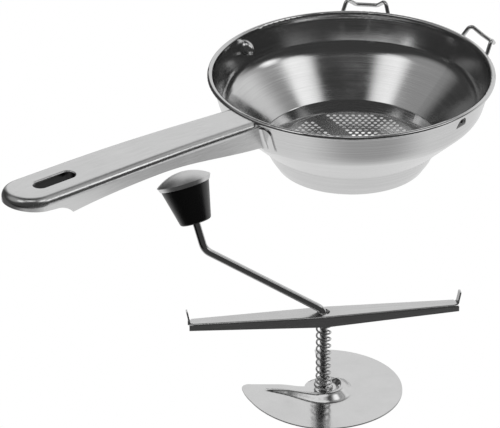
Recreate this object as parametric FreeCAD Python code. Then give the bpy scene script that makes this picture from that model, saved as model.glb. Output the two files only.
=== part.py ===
import FreeCAD
import Part
import math
import os

# A hand-cranked food mill, in millimetres, +Z up. The origin is the centre of the bowl's base, on the table.
# The handle points along -X. The crank unit stands loose on the table, beside the bowl.

# Bowl
RIM_RADIUS = 100.0
RIM_HEIGHT = 69.0
BOWL_SHEET = 0.8
CURL_RADIUS = 1.5
CURL_END_GAP = 0.85
CURL_CLEARANCE = 0.12
WALL_TOP_DROP = 2.0
WALL_TOP_BEND = 6.0
WALL_FOOT = (90.7, 44.2)
WALL_BEND = 18.0
FUNNEL_FOOT = (61.0, 16.8)
COLLAR_CREASE = (56.2, 7.4)
BASE_RADIUS = 51.6
LIP_RADIUS = 46.0
TIGHT_BEND = 1.6
WALL_TOP_RADIUS = RIM_RADIUS - 2 * CURL_RADIUS - BOWL_SHEET / 2
CURL_HEIGHT = RIM_HEIGHT - BOWL_SHEET / 2 - CURL_RADIUS

# Lugs pressed out of the bowl's wall, which hold the crossbar down
LUG_ANGLES = (101.2, 281.2)
LUG_SIZE = (8.6, 5.9, 8.2)
LUG_CUT_HEIGHT = 56.5
LUG_CENTRE = 95.0

# Sieve disc
DISC_TOP = 14.2
DISC_RADIUS = 50.2
DISC_SHEET = 0.5
DISC_EDGE_BEND = 2.2
DISC_LIFT_GAP = 0.05
HOLE_RADIUS = 1.4
HOLE_PITCH = 4.4
HOLE_FIELD_RADIUS = 45.5
HOLE_ROW_ANGLE = -40.5
PLAIN_BAND_ANGLE = 81.0
PLAIN_BAND_WIDTH = 13.0

# Handle
HANDLE_NOSE = -300.7
HANDLE_NOSE_RADIUS = 19.6
HANDLE_SHEET = 1.0
HANDLE_EDGE_BEND = 5.5
HANDLE_TOP = ((-90.0, 67.0), (-130.0, 69.2), (-170.0, 71.0), (-215.0, 72.2), (-255.0, 72.7), (-310.0, 73.7))
HANDLE_HALF_WIDTH = ((-90.0, 15.7), (-140.0, 17.0), (-180.0, 18.2), (-230.0, 19.3))
HANDLE_SKIRT = ((-90.0, 47.0), (-132.0, 52.6), (-170.0, 58.0), (-204.0, 59.1), (-238.0, 58.2), (-261.0, 56.3))
SCALLOP = ((-266.5, 60.8), (-272.5, 63.0))
NOSE_LIP = 6.8
SLOT_CENTRE = -261.5
SLOT_LENGTH = 33.0
SLOT_WIDTH = 10.0
SLOT_COLLAR_DEPTH = 7.5
SLOT_COLLAR_BEND = 1.2
SLOT_COLLAR_SINK = 0.3
CHANNEL_OVERCUT = 4.0
FLANGE_START = 12.0
FLANGE_END = 23.6
FLANGE_BOTTOM = 41.5
FLANGE_TOP = 62.5
FLANGE_CORNER = 5.0
FLANGE_BEND = 2.6
CLOSE_FIT = 0.02

# Wire pot rests
REST_WIRE = 1.5
REST_ANGLES = {"pot_rest_left": 43.2, "pot_rest_right": -10.5}
REST_LEG_SPREAD = 16.3
REST_BEND = 3.2
REST_LEG_BENDS = (6.0, 5.0)
REST_LEG_FOOT = 50.0
REST_LEG_TOP = 61.2
REST_RIM_PASS = (RIM_RADIUS + 1.9, 65.8)
REST_SHOULDER = (RIM_RADIUS + 5.6, 2.6, 74.2)
REST_HOOK = (RIM_RADIUS + 11.5, 8.6, 67.8)
WELD_RADIUS = 2.2
WELD_HEIGHTS = (55.0, 59.5)
WELD_PROUD = 0.12
FLANGE_WELD_INSET = 3.2

# Crank unit: where it stands, and its directions
UNIT_CENTRE = (-224.6, -230.7)
BAR_ANGLE = -31.5
ARM_ANGLE = 139.5
BLADE_ANGLE = -40.5

# Crossbar
BAR_TOP = 57.1
BAR_HALF = 87.0
BAR_SHEET = 1.0
BAR_WIDTH_MIDDLE = 15.4
BAR_WIDTH_END = 8.8
BAR_DEPTH_MIDDLE = 7.3
BAR_DEPTH_END = 4.4
BAR_EDGE_BEND = 1.4
BAR_INNER_BEND = 0.5
BAR_FLANGE_END = 2.2
TAB_HEIGHT = 8.0
TAB_WIDTH = 5.2
TAB_LEAN = 12.0
TAB_BEND = 1.3
TAB_CORNER = 1.2

# Rod, spring and blade
ROD_RADIUS = 2.5
BAR_HOLE_RADIUS = 4.0
ARM_FOOT = 58.2
ARM_END = (75.8, 101.6)
ARM_FOOT_BEND = 8.0
ARM_END_BEND = 9.0
KNOB_LEAN = (0.32, -0.36)
SPIGOT_RADIUS = 1.6
RIVET_RADIUS = 3.0
RIVET_HEIGHT = 0.7
NECK_LENGTH = 3.0
HEAD_HEIGHT = 0.9
BLADE_SHEET = 0.9
BLADE_RADIUS = 50.8
BLADE_TIP_RADIUS = 52.4
BLADE_LIFT = 2.6
LEADING_EDGE = 180.0
RAMP_BACK = 111.0
RAMP_FOOT = 275.0
RAMP_SPREAD = 70.0
WING_SPREAD = 22.0
TRAILING_EDGE = 456.0
HUB_RADIUS = 12.0
HUB_LIFT = 1.2
HUB_FLAT_RADIUS = 6.6
BLADE_GRID = 1.25
SPRING_RADIUS = 4.4
SPRING_FOOT_RADIUS = 5.6
SPRING_WIRE = 0.65
SPRING_EVEN_TURNS = 9.5
SPRING_CLOSE_TURNS = 2.2
SPRING_CLOSE_HEIGHT = 6.0
SPRING_GAP = 0.05

# The pressed ridge on the blade, from its thin tail to its round head beside the rod:
# place x and y, height over the blade, width on the outer side, width on the rod's side
RIDGE = (
    (-38.5, -6.2, 0.0, 1.5, 1.5),
    (-29.0, -8.3, 1.3, 3.0, 3.2),
    (-19.5, -10.6, 2.4, 4.6, 5.0),
    (-8.5, -13.2, 3.3, 6.2, 7.0),
    (1.0, -13.8, 3.7, 6.7, 7.4),
    (8.3, -11.3, 3.8, 6.8, 7.2),
    (12.3, -5.8, 3.8, 6.6, 6.9),
    (12.6, 1.0, 3.6, 6.4, 6.8),
    (9.6, 7.2, 2.9, 6.4, 6.4),
)
RIDGE_STEPS = 7

# Knob, measured along the rod's tilted end from the arm's bend
KNOB_START = 18.5
KNOB_END = 45.3
KNOB_FOOT_RADIUS = 10.0
KNOB_FOOT_BEND = 1.8
KNOB_HEAD_RADIUS = 15.7
KNOB_BORE_CLEARANCE = 0.1
CAP_RADIUS = 17.6
CAP_SHEET = 0.6
CAP_SKIRT = 2.8
CAP_SKIRT_RADIUS = 16.4
CAP_DOME = 6.0
KNOB_RECESS_RADIUS = 6.0
KNOB_RECESS_DEPTH = 5.0
WASHER_RADIUS = 5.2
WASHER_THICKNESS = 1.2
WASHER_GAP = 0.2

UP = FreeCAD.Vector(0, 0, 1)
ORIGIN = FreeCAD.Vector(0, 0, 0)
BIG = 400.0


def vec(x, y, z=0.0):
    return FreeCAD.Vector(x, y, z)


def polar(radius, degrees, z=0.0):
    angle = math.radians(degrees)
    return vec(radius * math.cos(angle), radius * math.sin(angle), z)


def turned(shape, degrees, centre=ORIGIN, axis=UP):
    copy = shape.copy()
    copy.rotate(centre, axis, degrees)
    return copy


def moved(shape, x, y, z=0.0):
    copy = shape.copy()
    copy.translate(vec(x, y, z))
    return copy


def rounded_edges(points, radii, offset=0.0):
    """Edges of a polyline with tangent arcs at its inner corners, all shifted by offset to the left of the
    direction of travel. The points lie in one plane, given as (x, z)."""
    flat = [vec(x, 0, z) for x, z in points]

    def left(direction):
        return vec(-direction.z, 0, direction.x)

    edges = []
    first = (flat[1] - flat[0]).normalize()
    position = flat[0] + left(first) * offset
    for before, corner, after, radius in zip(flat, flat[1:], flat[2:], radii):
        arriving = (corner - before).normalize()
        leaving = (after - corner).normalize()
        side = 1.0 if arriving.x * leaving.z - arriving.z * leaving.x > 0 else -1.0
        turn = arriving.getAngle(leaving)
        reach = radius * math.tan(turn / 2)
        centre = corner - arriving * reach + left(arriving) * (side * radius)
        shifted = radius - side * offset
        start = centre - left(arriving) * (side * shifted)
        middle = centre + (corner - centre).normalize() * shifted
        end = centre - left(leaving) * (side * shifted)
        if (start - position).Length > 1e-6:
            edges.append(Part.LineSegment(position, start).toShape())
        edges.append(Part.Arc(start, middle, end).toShape())
        position = end
    last = (flat[-1] - flat[-2]).normalize()
    final = flat[-1] + left(last) * offset
    if (final - position).Length > 1e-6:
        edges.append(Part.LineSegment(position, final).toShape())
    return edges


def sheet_face(points, radii, low, high):
    """The face between two shifts, low and high, of one rounded polyline: a section of bent sheet."""
    one = rounded_edges(points, radii, low)
    two = rounded_edges(points, radii, high)
    start = Part.LineSegment(one[0].firstVertex(True).Point, two[0].firstVertex(True).Point).toShape()
    end = Part.LineSegment(one[-1].lastVertex(True).Point, two[-1].lastVertex(True).Point).toShape()
    wires = Part.sortEdges(one + [end] + two + [start])
    return Part.Face(Part.Wire(wires[0]))


def polygon_face(points):
    return Part.Face(Part.makePolygon(points + [points[0]]))


def stadium(length, width, height, centre_x, z):
    """An upright solid with round ends, its length along X."""
    radius = width / 2
    half = length / 2 - radius
    box = Part.makeBox(2 * half, width, height, vec(centre_x - half, -radius, z))
    ends = [Part.makeCylinder(radius, height, vec(centre_x + side * half, 0, z)) for side in (-1, 1)]
    return box.fuse(ends).removeSplitter()


def wire_sweep(points, radii, section_radius):
    """A round wire along straight runs joined by tangent arcs, through points in space."""
    edges = []
    position = points[0]
    for before, corner, after, radius in zip(points, points[1:], points[2:], radii):
        arriving = (corner - before).normalize()
        leaving = (after - corner).normalize()
        turn = arriving.getAngle(leaving)
        reach = radius * math.tan(turn / 2)
        start = corner - arriving * reach
        end = corner + leaving * reach
        inward = (leaving - arriving).normalize()
        middle = corner + inward * (radius / math.cos(turn / 2) - radius)
        edges.append(Part.LineSegment(position, start).toShape())
        edges.append(Part.Arc(start, middle, end).toShape())
        position = end
    edges.append(Part.LineSegment(position, points[-1]).toShape())
    path = Part.Wire(edges)
    direction = points[1] - points[0]
    section = Part.Wire(Part.makeCircle(section_radius, points[0], direction))
    return path.makePipeShell([section], True, True)


# ---------------------------------------------------------------- bowl


def bowl_section():
    """Middle line of the bowl's sheet, from the rim's curl down to the lip that carries the disc."""
    points = [
        (WALL_TOP_RADIUS + CURL_END_GAP, CURL_HEIGHT - CURL_RADIUS),
        (WALL_TOP_RADIUS + 2 * CURL_RADIUS, CURL_HEIGHT - CURL_RADIUS),
        (WALL_TOP_RADIUS + 2 * CURL_RADIUS, CURL_HEIGHT + CURL_RADIUS),
        (WALL_TOP_RADIUS, CURL_HEIGHT + CURL_RADIUS),
        (WALL_TOP_RADIUS, CURL_HEIGHT - WALL_TOP_DROP),
        WALL_FOOT,
        FUNNEL_FOOT,
        COLLAR_CREASE,
        (BASE_RADIUS, BOWL_SHEET / 2),
        (LIP_RADIUS, BOWL_SHEET / 2),
    ]
    bends = 3 * [CURL_RADIUS] + [WALL_TOP_BEND, WALL_BEND] + 3 * [TIGHT_BEND]
    return points, bends


def bowl_band(low, high):
    """A solid of revolution that follows the bowl's sheet between two shifts from its middle line."""
    points, bends = bowl_section()
    return sheet_face(points, bends, low, high).revolve(ORIGIN, UP, 360)


def beside_wall(shift, radius):
    """The solid between an upright line at a radius and the bowl's wall below the curl, shifted outwards."""
    points, bends = bowl_section()
    edges = rounded_edges(points[3:], bends[3:], shift)
    top = edges[0].firstVertex(True).Point
    foot = edges[-1].lastVertex(True).Point
    close = [
        Part.LineSegment(foot, vec(radius, 0, foot.z)).toShape(),
        Part.LineSegment(vec(radius, 0, foot.z), vec(radius, 0, top.z)).toShape(),
        Part.LineSegment(vec(radius, 0, top.z), top).toShape(),
    ]
    wires = Part.sortEdges(edges + close)
    return Part.Face(Part.Wire(wires[0])).revolve(ORIGIN, UP, 360)


def bowl_block():
    """The bowl as a full block, out to its outer surface: for cutting what lies against the wall."""
    bead = Part.makeTorus(WALL_TOP_RADIUS + CURL_RADIUS, CURL_RADIUS + BOWL_SHEET / 2 + CURL_CLEARANCE)
    return beside_wall(BOWL_SHEET / 2 + CLOSE_FIT, 0.0).fuse(moved(bead, 0, 0, CURL_HEIGHT))


def lug_region(degrees, inset):
    """The upper half of an egg shape that a lug fills, set in the wall above the lug's cut."""
    scale = FreeCAD.Matrix()
    scale.scale(*[size - inset for size in LUG_SIZE])
    egg = Part.makeSphere(1.0).transformGeometry(scale)
    upper = egg.common(Part.makeBox(BIG, BIG, BIG, vec(-BIG / 2, -BIG / 2, 0)))
    centre = polar(LUG_CENTRE, degrees, LUG_CUT_HEIGHT)
    return moved(turned(upper, degrees), centre.x, centre.y, centre.z)


def bowl_shell():
    """The spun shell, with two lugs pushed inwards and open below."""
    shell = bowl_band(-BOWL_SHEET / 2, BOWL_SHEET / 2)
    inside = Part.makeCylinder(WALL_TOP_RADIUS - BOWL_SHEET / 2, RIM_HEIGHT)
    outside = beside_wall(0.0, BIG / 2)
    for degrees in LUG_ANGLES:
        pocket = lug_region(degrees, BOWL_SHEET)
        hood = lug_region(degrees, 0.0).cut(pocket)
        shell = shell.cut(pocket).fuse(hood.common(inside).cut(outside))
    return shell.removeSplitter()


# ---------------------------------------------------------------- sieve disc


def hole_centres():
    """Holes on a triangular grid inside the field, but not on the plain band across its middle."""
    centres = []
    rows = int(HOLE_FIELD_RADIUS / (HOLE_PITCH * math.sqrt(3) / 2))
    columns = int(HOLE_FIELD_RADIUS / HOLE_PITCH) + 1
    band = math.radians(PLAIN_BAND_ANGLE - HOLE_ROW_ANGLE)
    for row in range(-rows, rows + 1):
        y = row * HOLE_PITCH * math.sqrt(3) / 2
        for column in range(-columns, columns + 1):
            x = (column + 0.5 * (row % 2)) * HOLE_PITCH
            from_band = abs(x * math.sin(band) - y * math.cos(band))
            if math.hypot(x, y) <= HOLE_FIELD_RADIUS and from_band >= PLAIN_BAND_WIDTH / 2:
                centres.append((x, y))
    return centres


def sieve_disc():
    """A dish turned upside down: flat perforated top, rounded edge, short skirt that stands on the lip."""
    points = [
        (0.0, DISC_TOP - DISC_SHEET / 2),
        (DISC_RADIUS - DISC_SHEET / 2, DISC_TOP - DISC_SHEET / 2),
        (DISC_RADIUS - DISC_SHEET / 2, BOWL_SHEET + DISC_LIFT_GAP),
    ]
    dish = sheet_face(points, [DISC_EDGE_BEND], -DISC_SHEET / 2, DISC_SHEET / 2).revolve(ORIGIN, UP, 360)
    drill = [
        Part.makeCylinder(HOLE_RADIUS, 3 * DISC_SHEET, vec(x, y, DISC_TOP - 2 * DISC_SHEET))
        for x, y in hole_centres()
    ]
    drills = turned(Part.makeCompound(drill), HOLE_ROW_ANGLE)
    return dish.cut(drills)


# ---------------------------------------------------------------- handle


def handle_top_curve(drop):
    curve = Part.BSplineCurve()
    curve.interpolate([vec(x, 0, z - drop) for x, z in HANDLE_TOP])
    return curve


def handle_side_face(drop, extra_depth):
    """The handle seen from the side: arched top, deep skirt, a scallop, and a shallow lip round the nose."""
    top = handle_top_curve(drop)
    skirt = Part.BSplineCurve()
    skirt.interpolate([vec(x, 0, z - extra_depth) for x, z in HANDLE_SKIRT])
    scallop, step = [vec(x, 0, z - extra_depth) for x, z in SCALLOP]
    tip = vec(top.EndPoint.x, 0, top.EndPoint.z + drop - NOSE_LIP - extra_depth)
    edges = [
        top.toShape(),
        Part.LineSegment(top.StartPoint, skirt.StartPoint).toShape(),
        skirt.toShape(),
        Part.Arc(skirt.EndPoint, scallop, step).toShape(),
        Part.LineSegment(step, tip).toShape(),
        Part.LineSegment(tip, top.EndPoint).toShape(),
    ]
    return Part.Face(Part.Wire(Part.sortEdges(edges)[0]))


def handle_plan(inset):
    """The handle seen from above: sides that widen towards the hand, and a round nose."""
    centre = HANDLE_NOSE + HANDLE_NOSE_RADIUS
    radius = HANDLE_NOSE_RADIUS - inset
    edges = []
    for side in (-1, 1):
        points = [vec(x, side * (half - inset)) for x, half in HANDLE_HALF_WIDTH]
        points.append(vec(centre, side * radius))
        curve = Part.BSplineCurve()
        curve.interpolate(points, InitialTangent=points[1] - points[0], FinalTangent=vec(-1, 0))
        edges.append(curve.toShape())
    start = HANDLE_HALF_WIDTH[0]
    edges.append(Part.LineSegment(vec(start[0], inset - start[1]), vec(start[0], start[1] - inset)).toShape())
    edges.append(Part.Arc(vec(centre, -radius), vec(centre - radius, 0), vec(centre, radius)).toShape())
    return Part.Face(Part.Wire(Part.sortEdges(edges)[0]))


def handle_block(inset, extra_depth):
    """The handle as a full block, its top edge rounded, shrunk by inset."""
    face = handle_side_face(inset, extra_depth)
    side = moved(face, 0, -HANDLE_NOSE_RADIUS).extrude(vec(0, 2 * HANDLE_NOSE_RADIUS, 0))
    block = side.common(handle_plan(inset).extrude(vec(0, 0, BIG)))
    curve = handle_top_curve(inset)
    root = HANDLE_TOP[0][0]

    def on_top(edge):
        for share in (0.1, 0.5, 0.9):
            first, last = edge.FirstParameter, edge.LastParameter
            point = edge.valueAt(first + (last - first) * share)
            height = curve.value(curve.parameter(vec(point.x, 0, point.z))).z
            if abs(point.z - height) > 0.2 or point.x > root - 0.5:
                return False
        return True

    return block.makeFillet(HANDLE_EDGE_BEND - inset, [edge for edge in block.Edges if on_top(edge)])


def mirrored(shape):
    return shape.mirror(ORIGIN, vec(0, 1, 0))


def flange():
    """The flange that lies on the bowl's wall at the handle's +Y side, with rounded outer corners."""
    band = bowl_band(BOWL_SHEET / 2 + CLOSE_FIT, BOWL_SHEET / 2 + CLOSE_FIT + HANDLE_SHEET)
    width = FLANGE_END - FLANGE_START
    height = FLANGE_TOP - FLANGE_BOTTOM
    window = Part.makeBox(RIM_RADIUS, width, height, vec(-1.1 * RIM_RADIUS, FLANGE_START, FLANGE_BOTTOM))
    corners = [
        edge
        for edge in window.Edges
        if abs(edge.tangentAt(edge.FirstParameter).x) > 0.99 and edge.CenterOfMass.y > FLANGE_START + width / 2
    ]
    return band.common(window.makeFillet(FLANGE_CORNER, corners))


def flange_bend():
    """The hollow bend between the handle's skirt and its flange, on the +Y side."""
    half = HANDLE_HALF_WIDTH[0][1]
    foot = FLANGE_BOTTOM + FLANGE_CORNER
    hollow = FLANGE_BEND * (1.0 - math.sqrt(0.5))

    def wall_x(height):
        return -math.sqrt(along_wall(height, BOWL_SHEET / 2 + HANDLE_SHEET) ** 2 - half ** 2)

    corner = vec(wall_x(foot), half, foot)
    start = corner + vec(-FLANGE_BEND, 0)
    end = corner + vec(0, FLANGE_BEND)
    into_wall = vec(2 * HANDLE_SHEET, 0)
    into_skirt = vec(0, -HANDLE_SHEET / 2)
    edges = [
        Part.Arc(start, corner + vec(-hollow, hollow), end).toShape(),
        Part.LineSegment(end, end + into_wall).toShape(),
        Part.LineSegment(end + into_wall, corner + into_wall + into_skirt).toShape(),
        Part.LineSegment(corner + into_wall + into_skirt, start + into_skirt).toShape(),
        Part.LineSegment(start + into_skirt, start).toShape(),
    ]
    face = Part.Face(Part.Wire(edges))
    return face.extrude(vec(wall_x(FLANGE_TOP) - wall_x(foot), 0, FLANGE_TOP - foot))


def slot_collar():
    """The drawn-in edge of the hanging slot, rounded over at the top."""
    length = SLOT_LENGTH + 2 * HANDLE_SHEET
    width = SLOT_WIDTH + 2 * HANDLE_SHEET
    collar = stadium(length, width, BIG / 8, SLOT_CENTRE, HANDLE_SKIRT[-1][1])
    under_top = handle_side_face(SLOT_COLLAR_SINK, 0.0).extrude(vec(0, width, 0))
    under_top = moved(under_top, 0, -width / 2)
    return collar.common(under_top).cut(moved(under_top, 0, 0, -SLOT_COLLAR_DEPTH))


def handle_shell():
    shell = handle_block(0.0, 0.0).cut(handle_block(HANDLE_SHEET, CHANNEL_OVERCUT))
    shell = shell.fuse(slot_collar())
    shell = shell.cut(stadium(SLOT_LENGTH, SLOT_WIDTH, BIG, SLOT_CENTRE, 0.0))
    curve = handle_top_curve(0.0)
    mouth = []
    for edge in shell.Edges:
        middle = edge.valueAt((edge.FirstParameter + edge.LastParameter) / 2)
        inside = abs(middle.x - SLOT_CENTRE) < SLOT_LENGTH / 2 + 0.1 and abs(middle.y) < SLOT_WIDTH / 2 + 0.1
        if inside and abs(middle.z - curve.value(curve.parameter(vec(middle.x, 0, middle.z))).z) < 0.1:
            mouth.append(edge)
    shell = shell.makeFillet(SLOT_COLLAR_BEND, mouth)
    outside = [piece.cut(handle_block(0.0, 0.0)) for piece in (flange(), flange_bend())]
    shell = shell.fuse(outside + [mirrored(piece) for piece in outside])
    return shell.cut(bowl_block()).removeSplitter()


# ---------------------------------------------------------------- pot rests


def along_wall(height, gap):
    """Radius, at a height, of a line that follows the upper wall at a gap outside the middle of its sheet."""
    foot_radius, foot_height = WALL_FOOT
    run = WALL_TOP_RADIUS - foot_radius
    rise = CURL_HEIGHT - WALL_TOP_DROP - foot_height
    return foot_radius + run * (height - foot_height) / rise + gap * math.hypot(run, rise) / rise


def pot_rest(degrees):
    """One wire loop: two legs up the wall, out round the rim, then a hook that turns down in its middle."""
    lean = BOWL_SHEET / 2 + CLOSE_FIT + REST_WIRE
    leg = REST_LEG_SPREAD

    def beside(radius):
        return math.sqrt(radius ** 2 - leg ** 2)

    half = [
        (beside(along_wall(REST_LEG_FOOT, lean)), leg, REST_LEG_FOOT),
        (beside(along_wall(REST_LEG_TOP, lean)), leg, REST_LEG_TOP),
        (beside(REST_RIM_PASS[0]), leg, REST_RIM_PASS[1]),
    ]
    half += [(radius, leg - inward, height) for radius, inward, height in (REST_SHOULDER, REST_HOOK)]
    points = [vec(r, -y, z) for r, y, z in half] + [vec(r, y, z) for r, y, z in reversed(half)]
    bends = list(REST_LEG_BENDS) + 2 * [REST_BEND]
    return turned(wire_sweep(points, bends + bends[::-1], REST_WIRE), degrees)


def rest_weld_spots():
    """Flat weld marks inside the wall, one above the other behind each leg."""
    spots = []
    for degrees in REST_ANGLES.values():
        for leg in (-REST_LEG_SPREAD, REST_LEG_SPREAD):
            around = degrees + math.degrees(math.atan2(leg, WALL_TOP_RADIUS))
            for height in WELD_HEIGHTS:
                spots.append(weld_spot(around, height))
    return Part.makeCompound(spots)


def weld_spot(degrees, height):
    band = bowl_band(-BOWL_SHEET / 2 - WELD_PROUD, -BOWL_SHEET / 2)
    start = polar(WALL_FOOT[0] - 3.0, degrees, height)
    pin = Part.makeCylinder(WELD_RADIUS, RIM_RADIUS - WALL_FOOT[0], start, polar(1, degrees))
    return band.common(pin).Solids[0]


def handle_weld_spots():
    """The flat weld marks of the handle's flanges, inside the wall."""
    spots = []
    around = math.degrees(math.asin((FLANGE_END - FLANGE_WELD_INSET) / RIM_RADIUS))
    for side in (-1, 1):
        for height in (FLANGE_BOTTOM + FLANGE_CORNER, FLANGE_TOP - FLANGE_CORNER):
            spots.append(weld_spot(180.0 + side * around, height))
    return Part.makeCompound(spots)


# ---------------------------------------------------------------- crank unit, built about its own axis


def placed_unit(shape, degrees):
    return moved(turned(shape, degrees), UNIT_CENTRE[0], UNIT_CENTRE[1])


def bar_block(inset, extra_depth, overhang):
    """The crossbar as a full block: tapered in plan and in depth, its long top edges rounded."""
    half = BAR_HALF + overhang
    end = BAR_WIDTH_END / 2 - inset
    middle = BAR_WIDTH_MIDDLE / 2 - inset
    plan = [vec(-half, -end), vec(0, -middle), vec(half, -end), vec(half, end), vec(0, middle), vec(-half, end)]
    prism = polygon_face(plan).extrude(vec(0, 0, BAR_TOP - inset))
    side = [
        vec(-half, -BIG / 2, BAR_TOP),
        vec(half, -BIG / 2, BAR_TOP),
        vec(half, -BIG / 2, BAR_TOP - BAR_DEPTH_END - extra_depth),
        vec(0, -BIG / 2, BAR_TOP - BAR_DEPTH_MIDDLE - extra_depth),
        vec(-half, -BIG / 2, BAR_TOP - BAR_DEPTH_END - extra_depth),
    ]
    block = prism.common(polygon_face(side).extrude(vec(0, BIG, 0)))
    bend = BAR_INNER_BEND if inset else BAR_EDGE_BEND
    long_edges = [
        edge
        for edge in block.Edges
        if abs(edge.CenterOfMass.z - (BAR_TOP - inset)) < 0.01 and edge.Length > BAR_HALF / 2
    ]
    return block.makeFillet(bend, long_edges)


def crossbar_tab(side):
    """The upturned end of the crossbar, one sheet thick, leaning outwards."""
    lean = math.tan(math.radians(TAB_LEAN)) * TAB_HEIGHT
    points = [
        (BAR_HALF - TAB_HEIGHT, BAR_TOP - BAR_SHEET / 2),
        (BAR_HALF - BAR_SHEET / 2, BAR_TOP - BAR_SHEET / 2),
        (BAR_HALF + lean - BAR_SHEET / 2, BAR_TOP + TAB_HEIGHT),
    ]
    face = sheet_face(points, [TAB_BEND], -BAR_SHEET / 2, BAR_SHEET / 2)
    tab = moved(face, 0, -TAB_WIDTH / 2).extrude(vec(0, TAB_WIDTH, 0))
    corners = [
        edge
        for edge in tab.Edges
        if edge.CenterOfMass.z > BAR_TOP + TAB_HEIGHT - BAR_SHEET
        and abs(edge.CenterOfMass.y) > TAB_WIDTH / 2 - 0.1
        and edge.Length < 1.5 * BAR_SHEET
    ]
    tab = tab.makeFillet(TAB_CORNER, corners)
    if side < 0:
        tab = tab.mirror(ORIGIN, vec(1, 0, 0))
    return tab


def crossbar():
    bar = bar_block(0.0, 0.0, 0.0).cut(bar_block(BAR_SHEET, 3 * BAR_SHEET, 2 * BAR_SHEET))
    end_cut = Part.makeBox(BIG, BIG, BIG, vec(BAR_HALF - BAR_FLANGE_END, -BIG / 2, BAR_TOP - BAR_SHEET))
    for side in (-1, 1):
        trim = end_cut if side > 0 else end_cut.mirror(ORIGIN, vec(1, 0, 0))
        bar = bar.cut(trim)
        bar = bar.fuse(crossbar_tab(side))
    hole = Part.makeCylinder(BAR_HOLE_RADIUS, 4 * BAR_SHEET, vec(0, 0, BAR_TOP - 2 * BAR_SHEET))
    return bar.cut(hole).removeSplitter()


def arm_direction():
    """Direction of the rod's last run: it leans out from the arm and to one side."""
    return vec(KNOB_LEAN[0], KNOB_LEAN[1], 1.0).normalize()


def arm_point(distance):
    """A point along the tilted end of the rod, measured from the arm's outer bend."""
    return vec(ARM_END[0], 0, ARM_END[1]) + arm_direction() * distance


def rod_end():
    return KNOB_END - KNOB_RECESS_DEPTH + WASHER_THICKNESS + WASHER_GAP


def crank_rod():
    """The bent rod, with a thin spigot below that is riveted under the blade."""
    shoulder = vec(0, 0, HUB_LIFT + BLADE_SHEET)
    points = [shoulder, vec(0, 0, ARM_FOOT), vec(ARM_END[0], 0, ARM_END[1]), arm_point(rod_end() - NECK_LENGTH)]
    rod = wire_sweep(points, [ARM_FOOT_BEND, ARM_END_BEND], ROD_RADIUS)
    axis = arm_direction()
    neck = Part.makeCylinder(SPIGOT_RADIUS, NECK_LENGTH, arm_point(rod_end() - NECK_LENGTH), axis)
    head = Part.makeCone(RIVET_RADIUS, SPIGOT_RADIUS, HEAD_HEIGHT, arm_point(rod_end()), axis)
    rivet_foot = HUB_LIFT - RIVET_HEIGHT
    spigot = Part.makeCylinder(SPIGOT_RADIUS, shoulder.z - rivet_foot, vec(0, 0, rivet_foot))
    rivet = Part.makeCylinder(RIVET_RADIUS, RIVET_HEIGHT, vec(0, 0, rivet_foot))
    return rod.fuse([neck, head, spigot, rivet]).removeSplitter()


def smooth(share):
    """An S-shaped step from 0 to 1."""
    share = min(max(share, 0.0), 1.0)
    return share * share * (3.0 - 2.0 * share)


def ridge_crest():
    """Points of the ridge along a smooth curve through its stations, each with its height and two widths."""
    place = Part.BSplineCurve()
    place.interpolate([vec(x, y, height) for x, y, height, outer, inner in RIDGE])
    knots = place.getKnots()
    crest = []
    for index, (one, two) in enumerate(zip(RIDGE, RIDGE[1:])):
        for step in range(RIDGE_STEPS):
            share = step / RIDGE_STEPS
            point = place.value(knots[index] + (knots[index + 1] - knots[index]) * share)
            widths = [a + (b - a) * share for a, b in zip(one[3:], two[3:])]
            crest.append((point.x, point.y, point.z, widths[0], widths[1]))
    crest.append(RIDGE[-1])
    return crest


def ridge_height(crest, x, y):
    """Height of the pressed ridge over the blade at a place, from the nearest point of the ridge's crest."""
    nearest = None
    for start, end in zip(crest, crest[1:]):
        run_x = end[0] - start[0]
        run_y = end[1] - start[1]
        share = ((x - start[0]) * run_x + (y - start[1]) * run_y) / (run_x ** 2 + run_y ** 2)
        share = min(max(share, 0.0), 1.0)
        here = [a + (b - a) * share for a, b in zip(start, end)]
        distance = math.hypot(x - here[0], y - here[1])
        if nearest is None or distance < nearest[0]:
            outside = (x - here[0]) * run_y - (y - here[1]) * run_x > 0
            width = here[3] if outside else here[4]
            nearest = (distance, here[2] * (1.0 - smooth(distance / width)))
    return nearest[1]


def blade_height(crest, x, y):
    """Height of the blade's underside: flat on the table, a raised hub, a raised leading wing and the ridge."""
    radius = math.hypot(x, y)
    angle = math.degrees(math.atan2(y, x)) % 360.0
    if angle < LEADING_EDGE:
        ramp = smooth((angle - RAMP_BACK) / (LEADING_EDGE - RAMP_BACK))
    else:
        ramp = smooth((RAMP_FOOT - angle) / RAMP_SPREAD)
    plateau = 1.0 - smooth((radius - HUB_FLAT_RADIUS - 3.0) / 7.0)
    hub = HUB_LIFT * max(plateau, ramp)
    wing = BLADE_LIFT * ramp * smooth((radius - HUB_FLAT_RADIUS) / WING_SPREAD)
    pressed = ridge_height(crest, x, y) * smooth((radius - HUB_FLAT_RADIUS) / 5.0)
    return (hub ** 4 + wing ** 4) ** 0.25 + pressed


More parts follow.
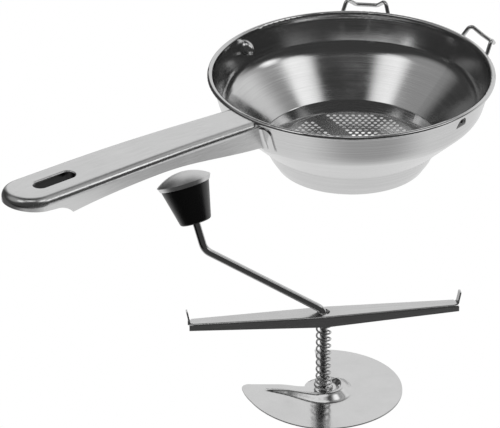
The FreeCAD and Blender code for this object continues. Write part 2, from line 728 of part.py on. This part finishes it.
def blade_outline():
    """The blade seen from above: a circle with a sector cut away, a rounded tip and a round lobe at the hub."""
    tip = polar(BLADE_TIP_RADIUS, LEADING_EDGE + 5.0)
    edge_start = vec(-BLADE_TIP_RADIUS + 6.0, 0.4)
    tip_middle = vec(-BLADE_TIP_RADIUS + 0.9, -1.6)
    round_end = polar(BLADE_RADIUS, LEADING_EDGE + 25.0)
    hub_start = polar(HUB_RADIUS, LEADING_EDGE - 2.0)
    hub_end = polar(HUB_RADIUS, TRAILING_EDGE)
    trailing_tip = polar(BLADE_RADIUS, TRAILING_EDGE)
    edges = [
        Part.Arc(trailing_tip, polar(BLADE_RADIUS, 330.0), round_end).toShape(),
        Part.Arc(round_end, polar(BLADE_TIP_RADIUS - 0.75, LEADING_EDGE + 14.0), tip).toShape(),
        Part.Arc(tip, tip_middle, edge_start).toShape(),
        Part.LineSegment(edge_start, hub_start).toShape(),
        Part.Arc(hub_start, polar(HUB_RADIUS, LEADING_EDGE - 43.0), hub_end).toShape(),
        Part.LineSegment(hub_end, trailing_tip).toShape(),
    ]
    return Part.Face(Part.Wire(edges))


def blade():
    """One pressed sheet: the height formula as a smooth surface, thickened, and cut to the outline."""
    steps = int(2 * (BLADE_TIP_RADIUS + 3.0) / BLADE_GRID)
    first = -steps * BLADE_GRID / 2
    places = [first + step * BLADE_GRID for step in range(steps + 1)]
    crest = ridge_crest()
    heights = [[blade_height(crest, x, y) for y in places] for x in places]
    surface = Part.BSplineSurface()
    surface.interpolate(heights, first, BLADE_GRID, first, BLADE_GRID)
    slab = surface.toShape().extrude(vec(0, 0, BLADE_SHEET))
    prism = moved(blade_outline(), 0, 0, -5.0).extrude(vec(0, 0, 20.0))
    hole = Part.makeCylinder(SPIGOT_RADIUS, 10.0, vec(0, 0, -2.0))
    return slab.common(prism).cut(hole)


def pressure_spring():
    """An open compression spring: wider, closer turns at its foot, then even turns up to the crossbar."""
    foot = HUB_LIFT + BLADE_SHEET + SPRING_WIRE + SPRING_GAP
    top = BAR_TOP - BAR_SHEET - SPRING_WIRE - SPRING_GAP
    turns = SPRING_CLOSE_TURNS + SPRING_EVEN_TURNS
    points_per_turn = 16
    points = []
    for step in range(int(turns * points_per_turn) + 1):
        turn = step / points_per_turn
        close = min(turn / SPRING_CLOSE_TURNS, 1.0)
        even = max(turn - SPRING_CLOSE_TURNS, 0.0) / SPRING_EVEN_TURNS
        height = foot + SPRING_CLOSE_HEIGHT * close + (top - foot - SPRING_CLOSE_HEIGHT) * even
        radius = SPRING_RADIUS + (SPRING_FOOT_RADIUS - SPRING_RADIUS) * (1.0 - smooth(close))
        points.append(polar(radius, -360.0 * turn, height))
    curve = Part.BSplineCurve()
    curve.interpolate(points)
    section = Part.Wire(Part.makeCircle(SPRING_WIRE, points[0], curve.tangent(curve.FirstParameter)[0]))
    return Part.Wire(curve.toShape()).makePipeShell([section], True, True)


def knob_solid(profile):
    """A solid of revolution about the rod's tilted end, from (radius, distance) points of a closed outline."""
    face = polygon_face([vec(radius, 0, distance) for radius, distance in profile])
    return on_arm(face.revolve(ORIGIN, UP, 360))


def on_arm(shape):
    axis = arm_direction()
    tilt = math.degrees(math.acos(axis.z))
    copy = turned(shape, tilt, ORIGIN, vec(-axis.y, axis.x))
    return moved(copy, ARM_END[0], 0, ARM_END[1])


def knob_body():
    bore = ROD_RADIUS + KNOB_BORE_CLEARANCE
    recess_floor = KNOB_END - KNOB_RECESS_DEPTH
    profile = [
        (bore, KNOB_START),
        (KNOB_FOOT_RADIUS, KNOB_START),
        (KNOB_HEAD_RADIUS, KNOB_END - CAP_SKIRT),
        (KNOB_HEAD_RADIUS, KNOB_END),
        (KNOB_RECESS_RADIUS, KNOB_END),
        (KNOB_RECESS_RADIUS, recess_floor),
        (bore, recess_floor),
    ]
    body = knob_solid(profile)
    foot = [edge for edge in body.Edges if abs(edge.Length - 2 * math.pi * KNOB_FOOT_RADIUS) < 0.5]
    return body.makeFillet(KNOB_FOOT_BEND, foot)


def knob_cap():
    """A thin domed cap: a short skirt that narrows over the knob's head, and a shallow dome."""
    ball = (CAP_RADIUS ** 2 + CAP_DOME ** 2) / (2 * CAP_DOME)
    base = KNOB_END + CAP_SHEET
    foot = base - CAP_SKIRT

    def fall(radius):
        return ball - math.sqrt(ball ** 2 - radius ** 2)

    def solid(inset):
        rim = CAP_RADIUS - inset
        skirt = CAP_SKIRT_RADIUS - inset
        apex = base + CAP_DOME - inset
        rim_point = vec(rim, 0, apex - fall(rim))
        edges = [
            Part.LineSegment(vec(0, 0, foot - inset), vec(skirt, 0, foot - inset)).toShape(),
            Part.LineSegment(vec(skirt, 0, foot - inset), rim_point).toShape(),
            Part.Arc(rim_point, vec(rim / 2, 0, apex - fall(rim / 2)), vec(0, 0, apex)).toShape(),
            Part.LineSegment(vec(0, 0, apex), vec(0, 0, foot - inset)).toShape(),
        ]
        return Part.Face(Part.Wire(edges)).revolve(ORIGIN, UP, 360)

    return on_arm(solid(0.0).cut(solid(CAP_SHEET)))


def knob_washer():
    floor = KNOB_END - KNOB_RECESS_DEPTH + WASHER_GAP
    outer = Part.makeCylinder(WASHER_RADIUS, WASHER_THICKNESS, vec(0, 0, floor))
    return on_arm(outer.cut(Part.makeCylinder(SPIGOT_RADIUS, WASHER_THICKNESS, vec(0, 0, floor))))


def main():
    os.makedirs("parts", exist_ok=True)
    nodes = {
        "bowl_shell": bowl_shell(),
        "sieve_disc": sieve_disc(),
        "handle_shell": handle_shell(),
        "handle_weld_spots": handle_weld_spots(),
        "rest_weld_spots": rest_weld_spots(),
        "crossbar": placed_unit(crossbar(), BAR_ANGLE),
        "crank_rod": placed_unit(crank_rod(), ARM_ANGLE),
        "pressure_spring": placed_unit(pressure_spring(), BLADE_ANGLE),
        "blade": placed_unit(blade(), BLADE_ANGLE),
        "knob_body": placed_unit(knob_body(), ARM_ANGLE),
        "knob_cap": placed_unit(knob_cap(), ARM_ANGLE),
        "knob_washer": placed_unit(knob_washer(), ARM_ANGLE),
    }
    for name, degrees in REST_ANGLES.items():
        nodes[name] = pot_rest(degrees)
    for name, shape in nodes.items():
        if len(shape.Solids) == 1:
            shape = shape.Solids[0]
        print(name, shape.ShapeType, len(shape.Solids), shape.isValid(), round(shape.Volume, 1))
        shape.exportStep("parts/" + name + ".step")


main()
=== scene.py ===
import math

import bmesh
import bpy
from mathutils import Matrix, Vector


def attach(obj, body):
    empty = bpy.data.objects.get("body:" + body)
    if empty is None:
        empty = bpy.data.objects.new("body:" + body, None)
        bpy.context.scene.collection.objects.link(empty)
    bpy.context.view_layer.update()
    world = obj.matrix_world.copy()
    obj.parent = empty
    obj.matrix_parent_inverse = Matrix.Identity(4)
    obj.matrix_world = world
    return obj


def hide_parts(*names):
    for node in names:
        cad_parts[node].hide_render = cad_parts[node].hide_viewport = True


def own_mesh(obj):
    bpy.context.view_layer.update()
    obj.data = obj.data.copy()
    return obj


# The photograph's camera: metres and degrees; lens and sensor in millimetres
CAMERA_PLACE = Vector((-2.0545, -2.3333, 1.6009))
CAMERA_HEADING = 49.932
CAMERA_DROP = 27.863
CAMERA_ROLL = -0.035
CAMERA_LENS = 360.0
CAMERA_REACH = 50.0
SENSOR_WIDTH = 36.0

# Studio floor, in metres and light strengths; a pair is where a change of light starts and ends, measured
# ahead of the bowl's axis (FALL), to its right (LEFT), or away from the shade's middle (REACH)
FLOOR_RADIUS = 9.0
FLOOR_DROP = 0.0002
FLOOR_SHADE = 0.07
FLOOR_LIGHT = 0.82
FLOOR_FALL = (-0.40, -0.25)
FLOOR_LEFT = (-0.34, -0.25)
FLOOR_LEFT_SHARE = 0.12
# A painted shade patch in the floor's glow, where the bowl's front wall mirrors the floor
SHADE_PLACE = (0.03, -0.165)
SHADE_REACH = (0.04, 0.115)
SHADE_SHARE = 0.52

# Studio room: strengths, and parts of a unit direction where the wall starts and is full
DARK_ROOM = 0.055
BACK_WALL = 0.80
WALL_AHEAD = (0.05, 0.60)
WALL_TOP = (0.55, 0.85)
WALL_LEFT_END = (-0.55, -0.20)

# Soft boxes: azimuth, elevation, half angle and soft edge in degrees, then strength.
# Azimuth 0 is the camera's right and 90 is straight ahead.
SOFT_BOXES = (
    (-17.0, 56.0, 5.0, 9.0, 0.92),  # left streak in the funnel
    (210.0, 61.0, 4.0, 10.0, 0.92),  # right streak in the funnel
    (270.0, 83.0, 7.0, 7.0, 0.85),  # front of the blade's ridge
    (-5.0, 35.0, 3.0, 7.0, 1.30),  # near edge of the handle
    (12.0, 50.0, 12.0, 22.0, 0.30),  # left side of the funnel
    (178.0, 50.0, 12.0, 22.0, 0.30),  # right side of the funnel
)

# Depth of the brushed lines in metres, and the turn in degrees that brings the crossbar along x
LINE_DEPTH = 0.0002
BAR_TURN = 31.5

# The handle's slot, whose wall gets a painted shade colour, in metres
SLOT_CENTRE = -0.2615
SLOT_HALF_LENGTH = 0.0168
SLOT_HALF_WIDTH = 0.0053
SLOT_EDGE = 0.0003
SLOT_WALL_TOP = (0.0712, 0.0722)
# Near-black painted shade colour that stands in for the shade inside the slot
SLOT_SHADE_TONE = 0.035

# The crank unit's axis and its spring, in metres, turns and degrees
UNIT_AXIS = Vector((-0.2246, -0.2307, 0.0))
SPRING_FOOT = 0.0028
SPRING_TOP = 0.0554
SPRING_CLOSE = 0.006
SPRING_RADIUS = 0.0044
SPRING_FOOT_RADIUS = 0.0056
SPRING_WIRE = 0.00065
SPRING_CLOSE_TURNS = 2.2
SPRING_EVEN_TURNS = 9.5
SPRING_START = -40.5
SPRING_SIDES = 14
SPRING_STEPS_PER_TURN = 44


# ---------------------------------------------------------------- node helpers


def new_material(name):
    material = bpy.data.materials.new(name)
    material.use_nodes = True
    nodes = material.node_tree.nodes
    nodes.clear()
    output = nodes.new("ShaderNodeOutputMaterial")
    shader = nodes.new("ShaderNodeBsdfPrincipled")
    material.node_tree.links.new(shader.outputs["BSDF"], output.inputs["Surface"])
    return material, nodes, material.node_tree.links, shader


def link_in(links, socket, value):
    if hasattr(value, "links"):
        links.new(value, socket)
    else:
        socket.default_value = value


def math_node(tree, operation, first, second=0.0):
    nodes, links = tree
    node = nodes.new("ShaderNodeMath")
    node.operation = operation
    link_in(links, node.inputs[0], first)
    link_in(links, node.inputs[1], second)
    return node.outputs[0]


def mapped(tree, value, low_in, high_in, low_out, high_out):
    nodes, links = tree
    node = nodes.new("ShaderNodeMapRange")
    link_in(links, node.inputs["Value"], value)
    node.inputs["From Min"].default_value = low_in
    node.inputs["From Max"].default_value = high_in
    node.inputs["To Min"].default_value = low_out
    node.inputs["To Max"].default_value = high_out
    return node.outputs["Result"]


def eased(tree, value, low_in, high_in, low_out, high_out):
    output = mapped(tree, value, low_in, high_in, low_out, high_out)
    output.node.interpolation_type = "SMOOTHSTEP"
    return output


def within(tree, value, centre, half, soft):
    """1 where value is within half of centre, 0 outside, with a soft step."""
    distance = math_node(tree, "ABSOLUTE", math_node(tree, "SUBTRACT", value, centre))
    return eased(tree, distance, half, half + soft, 1.0, 0.0)


def noise(tree, vector, scale, detail, roughness):
    nodes, links = tree
    node = nodes.new("ShaderNodeTexNoise")
    links.new(vector, node.inputs["Vector"])
    node.inputs["Scale"].default_value = scale
    node.inputs["Detail"].default_value = detail
    node.inputs["Roughness"].default_value = roughness
    return node.outputs["Fac"]


def place(tree):
    """The piece's own coordinates, which stay with it when it moves."""
    return tree[0].new("ShaderNodeTexCoord").outputs["Object"]


def vector_node(tree, operation, vector, other):
    nodes, links = tree
    node = nodes.new("ShaderNodeVectorMath")
    node.operation = operation
    links.new(vector, node.inputs[0])
    node.inputs[1].default_value = other
    return node


def stretched(tree, vector, scale):
    return vector_node(tree, "MULTIPLY", vector, scale).outputs["Vector"]


def along(tree, vector, direction):
    return vector_node(tree, "DOT_PRODUCT", vector, direction).outputs["Value"]


def turned_lines(tree, fine):
    """Coordinates for lines round the bowl's axis: radius and height count, the angle hardly does."""
    nodes, links = tree
    split = nodes.new("ShaderNodeSeparateXYZ")
    links.new(place(tree), split.inputs[0])
    angle = math_node(tree, "ARCTAN2", split.outputs["Y"], split.outputs["X"])
    square = math_node(tree, "MULTIPLY", split.outputs["X"], split.outputs["X"])
    other = math_node(tree, "MULTIPLY", split.outputs["Y"], split.outputs["Y"])
    radius = math_node(tree, "SQRT", math_node(tree, "ADD", square, other))
    join = nodes.new("ShaderNodeCombineXYZ")
    links.new(math_node(tree, "MULTIPLY", radius, fine), join.inputs["X"])
    links.new(math_node(tree, "MULTIPLY", split.outputs["Z"], fine), join.inputs["Y"])
    links.new(math_node(tree, "MULTIPLY", angle, 1.1), join.inputs["Z"])
    return join.outputs[0]


def bump(tree, height, strength, distance):
    nodes, links = tree
    node = nodes.new("ShaderNodeBump")
    node.inputs["Strength"].default_value = strength
    node.inputs["Distance"].default_value = distance
    links.new(height, node.inputs["Height"])
    return node.outputs["Normal"]


def tinted(tree, factor, dark, light):
    nodes, links = tree
    node = nodes.new("ShaderNodeMix")
    node.data_type = "RGBA"
    links.new(factor, node.inputs["Factor"])
    node.inputs["A"].default_value = (dark, dark, dark, 1.0)
    node.inputs["B"].default_value = (light, light, light, 1.0)
    return node.outputs["Result"]


# ---------------------------------------------------------------- materials


def lined(scale):
    """A coordinate function for grain: even where the scales are equal, else lines along the smallest."""
    return lambda tree: stretched(tree, place(tree), scale)


def steel(name, vector_of, tone, roughness, line_bump, anisotropic=0.0, radial=False):
    """Stainless steel with brushed or turned lines, faint smudges and small changes of shine."""
    material, nodes, links, shader = new_material(name)
    tree = (nodes, links)
    lines = noise(tree, vector_of(tree), 1.0, 4.0, 0.6)
    smudge = noise(tree, place(tree), 38.0, 3.0, 0.5)
    fine = noise(tree, place(tree), 900.0, 2.0, 0.5)
    shader.inputs["Metallic"].default_value = 1.0
    shader.inputs["Anisotropic"].default_value = anisotropic
    tint = tinted(tree, mapped(tree, lines, 0.3, 0.7, 0.0, 1.0), tone[0], tone[1])
    links.new(tint, shader.inputs["Base Color"])
    spread = mapped(tree, smudge, 0.35, 0.7, -0.03, 0.05)
    grain = mapped(tree, lines, 0.3, 0.7, -0.04, 0.04)
    total = math_node(tree, "ADD", math_node(tree, "ADD", spread, grain), roughness)
    links.new(total, shader.inputs["Roughness"])
    height = math_node(tree, "ADD", lines, math_node(tree, "MULTIPLY", fine, 0.15))
    links.new(bump(tree, height, line_bump, LINE_DEPTH), shader.inputs["Normal"])
    if radial:
        tangent = nodes.new("ShaderNodeTangent")
        tangent.direction_type = "RADIAL"
        tangent.axis = "Z"
        links.new(tangent.outputs["Tangent"], shader.inputs["Tangent"])
    return material


def bowl_steel():
    return steel("bowl_steel", lambda tree: turned_lines(tree, 2600.0), (0.60, 0.72), 0.13, 0.03, 0.5, True)


def disc_steel():
    return steel("disc_steel", lined((900.0, 900.0, 900.0)), (0.55, 0.68), 0.22, 0.02)


def handle_steel():
    """Satin steel brushed along the handle, with painted shade: a near-black colour on the wall of the
    slot.
    """
    material = steel("handle_steel", lined((35.0, 1900.0, 1900.0)), (0.66, 0.76), 0.2, 0.03)
    tree = (material.node_tree.nodes, material.node_tree.links)
    nodes, links = tree
    shader = next(node for node in nodes if node.type == "BSDF_PRINCIPLED")
    split = nodes.new("ShaderNodeSeparateXYZ")
    links.new(place(tree), split.inputs[0])
    across = within(tree, split.outputs["Y"], 0.0, SLOT_HALF_WIDTH, SLOT_EDGE)
    lengthways = within(tree, split.outputs["X"], SLOT_CENTRE, SLOT_HALF_LENGTH, SLOT_EDGE)
    below = eased(tree, split.outputs["Z"], SLOT_WALL_TOP[0], SLOT_WALL_TOP[1], 1.0, 0.0)
    # Mask of the painted shade: inside the slot's outline and below the handle's top
    slot = math_node(tree, "MULTIPLY", math_node(tree, "MULTIPLY", across, lengthways), below)
    bright = shader.inputs["Base Color"].links[0].from_socket
    mix = nodes.new("ShaderNodeMix")
    mix.data_type = "RGBA"
    links.new(slot, mix.inputs["Factor"])
    links.new(bright, mix.inputs["A"])
    # The painted shade colour replaces the steel's own colour on the slot's wall
    mix.inputs["B"].default_value = (SLOT_SHADE_TONE, SLOT_SHADE_TONE, SLOT_SHADE_TONE, 1.0)
    links.new(mix.outputs["Result"], shader.inputs["Base Color"])
    return material


def bar_lines(tree):
    """Coordinates for lines along the crossbar, which lies askew."""
    nodes, links = tree
    node = nodes.new("ShaderNodeVectorRotate")
    node.rotation_type = "Z_AXIS"
    node.inputs["Angle"].default_value = math.radians(BAR_TURN)
    links.new(place(tree), node.inputs["Vector"])
    return stretched(tree, node.outputs["Vector"], (40.0, 1900.0, 1900.0))


def bar_steel():
    return steel("bar_steel", bar_lines, (0.62, 0.74), 0.22, 0.05)


def blade_steel():
    return steel("blade_steel", lined((60.0, 60.0, 60.0)), (0.70, 0.76), 0.12, 0.01)


def wire_steel():
    return steel("wire_steel", lined((500.0, 500.0, 120.0)), (0.56, 0.66), 0.12, 0.01)


def cap_steel():
    return steel("cap_steel", lined((700.0, 700.0, 700.0)), (0.68, 0.76), 0.34, 0.02)


def black_plastic():
    material, nodes, links, shader = new_material("black_plastic")
    tree = (nodes, links)
    skin = noise(tree, place(tree), 700.0, 3.0, 0.5)
    patch = noise(tree, place(tree), 60.0, 2.0, 0.5)
    links.new(tinted(tree, patch, 0.006, 0.014), shader.inputs["Base Color"])
    links.new(mapped(tree, patch, 0.3, 0.7, 0.24, 0.36), shader.inputs["Roughness"])
    links.new(bump(tree, skin, 0.15, LINE_DEPTH), shader.inputs["Normal"])
    shader.inputs["Specular IOR Level"].default_value = 0.5
    return material


# ---------------------------------------------------------------- studio


def ahead_and_right():
    """The camera's level directions: straight ahead, and to its right."""
    heading = math.radians(CAMERA_HEADING)
    ahead = Vector((math.cos(heading), math.sin(heading), 0))
    right = Vector((math.sin(heading), -math.cos(heading), 0))
    return ahead, right


def white_to_the_camera(material_or_world, strength):
    """A plain white surround for the picture itself; in the steel it shows with the strength given."""
    nodes = material_or_world.node_tree.nodes
    links = material_or_world.node_tree.links
    is_world = isinstance(material_or_world, bpy.types.World)
    output = nodes.new("ShaderNodeOutputWorld" if is_world else "ShaderNodeOutputMaterial")
    kind = "ShaderNodeBackground" if is_world else "ShaderNodeEmission"
    mix = nodes.new("ShaderNodeMixShader")
    path = nodes.new("ShaderNodeLightPath")
    seen = nodes.new(kind)
    mirrored = nodes.new(kind)
    seen.inputs["Color"].default_value = (1, 1, 1, 1)
    mirrored.inputs["Color"].default_value = (1, 1, 1, 1)
    links.new(strength, mirrored.inputs["Strength"])
    links.new(path.outputs["Is Camera Ray"], mix.inputs["Fac"])
    links.new(mirrored.outputs[0], mix.inputs[1])
    links.new(seen.outputs[0], mix.inputs[2])
    links.new(mix.outputs[0], output.inputs["Surface"])


def floor_material():
    """A floor, plain white to the camera, that glows in the steel: its glow is painted darker in front of
    the object and at its left, with a painted shade patch in front of the bowl.
    """
    material = bpy.data.materials.new("studio_floor")
    material.use_nodes = True
    material.node_tree.nodes.clear()
    tree = (material.node_tree.nodes, material.node_tree.links)
    ahead, right = ahead_and_right()
    depth = along(tree, place(tree), ahead)
    light = eased(tree, depth, FLOOR_FALL[0], FLOOR_FALL[1], FLOOR_SHADE, FLOOR_LIGHT)
    across = along(tree, place(tree), right)
    side = eased(tree, across, FLOOR_LEFT[0], FLOOR_LEFT[1], FLOOR_LEFT_SHARE, 1.0)
    light = math_node(tree, "MULTIPLY", light, side)
    # Painted shade patch: the glow is dimmed round this point
    centre = right * SHADE_PLACE[0] + ahead * SHADE_PLACE[1]
    away = vector_node(tree, "DISTANCE", place(tree), centre).outputs["Value"]
    shade = eased(tree, away, SHADE_REACH[0], SHADE_REACH[1], SHADE_SHARE, 1.0)
    white_to_the_camera(material, math_node(tree, "MULTIPLY", light, shade))
    return material


def studio_floor():
    middle = (0, 0, -FLOOR_DROP)
    bpy.ops.mesh.primitive_circle_add(vertices=96, radius=FLOOR_RADIUS, fill_type="NGON", location=middle)
    plane = bpy.context.object
    plane.name = "studio_floor"
    plane.data.materials.append(floor_material())


def toward(azimuth, elevation):
    """The unit direction of a soft box."""
    ahead, right = ahead_and_right()
    turn = math.radians(azimuth)
    rise = math.radians(elevation)
    level = right * math.cos(turn) + ahead * math.sin(turn)
    return level * math.cos(rise) + Vector((0, 0, math.sin(rise)))


def studio_world():
    """A dark room with a pale back wall and soft boxes: what the steel reflects."""
    world = bpy.data.worlds.new("studio")
    bpy.context.scene.world = world
    world.use_nodes = True
    world.node_tree.nodes.clear()
    tree = (world.node_tree.nodes, world.node_tree.links)
    coordinate = tree[0].new("ShaderNodeTexCoord")
    direction = coordinate.outputs["Generated"]
    ahead, right = ahead_and_right()
    depth = along(tree, direction, ahead)
    across = along(tree, direction, right)
    height = along(tree, direction, (0, 0, 1))
    wall = eased(tree, depth, WALL_AHEAD[0], WALL_AHEAD[1], 0.0, BACK_WALL - DARK_ROOM)
    not_left = eased(tree, across, WALL_LEFT_END[0], WALL_LEFT_END[1], 0.0, 1.0)
    not_above = eased(tree, height, WALL_TOP[0], WALL_TOP[1], 1.0, 0.0)
    wall = math_node(tree, "MULTIPLY", math_node(tree, "MULTIPLY", wall, not_left), not_above)
    total = math_node(tree, "ADD", wall, DARK_ROOM)
    for azimuth, elevation, half, soft, strength in SOFT_BOXES:
        near = along(tree, direction, toward(azimuth, elevation))
        outer = math.cos(math.radians(half + soft))
        inner = math.cos(math.radians(half))
        total = math_node(tree, "ADD", total, eased(tree, near, outer, inner, 0.0, strength))
    white_to_the_camera(world, total)


# ---------------------------------------------------------------- pieces


def give(node, material):
    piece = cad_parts[node]
    piece.data.materials.clear()
    piece.data.materials.append(material)


def spring_point(turn):
    """The middle of the wire, a number of turns up from the blade: close turns first, then even ones."""
    close = min(turn / SPRING_CLOSE_TURNS, 1.0)
    even = max(turn - SPRING_CLOSE_TURNS, 0.0) / SPRING_EVEN_TURNS
    height = SPRING_FOOT + SPRING_CLOSE * close + (SPRING_TOP - SPRING_FOOT - SPRING_CLOSE) * even
    widening = 1.0 - close * close * (3.0 - 2.0 * close)
    radius = SPRING_RADIUS + (SPRING_FOOT_RADIUS - SPRING_RADIUS) * widening
    angle = math.radians(SPRING_START) - 2 * math.pi * turn
    return UNIT_AXIS + Vector((radius * math.cos(angle), radius * math.sin(angle), height))


def spring(material):
    """The pressure spring as a smooth round wire."""
    steps = int((SPRING_CLOSE_TURNS + SPRING_EVEN_TURNS) * SPRING_STEPS_PER_TURN)
    mesh = bpy.data.meshes.new("spring_wire")
    form = bmesh.new()
    rings = []
    for step in range(steps + 1):
        centre = spring_point(step / SPRING_STEPS_PER_TURN)
        before = spring_point(max(step - 0.5, 0) / SPRING_STEPS_PER_TURN)
        after = spring_point((step + 0.5) / SPRING_STEPS_PER_TURN)
        ahead = (after - before).normalized()
        side = Vector((0, 0, 1)).cross(ahead).normalized()
        above = ahead.cross(side)
        ring = []
        for index in range(SPRING_SIDES):
            turn = 2 * math.pi * index / SPRING_SIDES
            outward = side * math.cos(turn) + above * math.sin(turn)
            ring.append(form.verts.new(centre + outward * SPRING_WIRE))
        rings.append(ring)
    for one, two in zip(rings, rings[1:]):
        for index in range(SPRING_SIDES):
            following = (index + 1) % SPRING_SIDES
            form.faces.new((one[index], two[index], two[following], one[following]))
    form.faces.new(rings[0])
    form.faces.new(reversed(rings[-1]))
    bmesh.ops.recalc_face_normals(form, faces=form.faces)
    for face in form.faces:
        face.smooth = len(face.verts) == 4
    form.to_mesh(mesh)
    form.free()
    piece = bpy.data.objects.new("spring_wire", mesh)
    bpy.context.scene.collection.objects.link(piece)
    piece.data.materials.append(material)
    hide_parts("pressure_spring")
    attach(piece, "spring")
    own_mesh(piece)


def camera():
    """The photograph's view."""
    data = bpy.data.cameras.new("camera")
    data.lens = CAMERA_LENS
    data.sensor_width = SENSOR_WIDTH
    data.clip_end = CAMERA_REACH
    view = bpy.data.objects.new("camera", data)
    drop = math.radians(CAMERA_DROP)
    roll = math.radians(CAMERA_ROLL)
    ahead, right = ahead_and_right()
    forward = ahead * math.cos(drop) - Vector((0, 0, math.sin(drop)))
    above = ahead * math.sin(drop) + Vector((0, 0, math.cos(drop)))
    x_axis = right * math.cos(roll) + above * math.sin(roll)
    y_axis = above * math.cos(roll) - right * math.sin(roll)
    turn = Matrix((x_axis, y_axis, -forward)).transposed()
    view.matrix_world = Matrix.Translation(CAMERA_PLACE) @ turn.to_4x4()
    bpy.context.scene.collection.objects.link(view)
    bpy.context.scene.camera = view


def main():
    bowl = bowl_steel()
    wire = wire_steel()
    give("bowl_shell", bowl)
    give("handle_weld_spots", bowl)
    give("rest_weld_spots", bowl)
    give("sieve_disc", disc_steel())
    give("handle_shell", handle_steel())
    give("pot_rest_left", wire)
    give("pot_rest_right", wire)
    give("crossbar", bar_steel())
    give("crank_rod", wire)
    give("pressure_spring", wire)
    give("blade", blade_steel())
    give("knob_body", black_plastic())
    give("knob_cap", cap_steel())
    give("knob_washer", wire)
    spring(wire)
    studio_floor()
    studio_world()
    camera()


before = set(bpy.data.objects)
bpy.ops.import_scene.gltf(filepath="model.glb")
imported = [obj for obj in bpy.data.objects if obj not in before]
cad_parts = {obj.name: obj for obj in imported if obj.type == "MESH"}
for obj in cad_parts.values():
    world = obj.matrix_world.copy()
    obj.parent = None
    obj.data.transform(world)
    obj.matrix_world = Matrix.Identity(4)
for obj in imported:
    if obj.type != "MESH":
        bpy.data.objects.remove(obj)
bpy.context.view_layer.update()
bpy.context.scene.view_settings.view_transform = "Standard"
main()
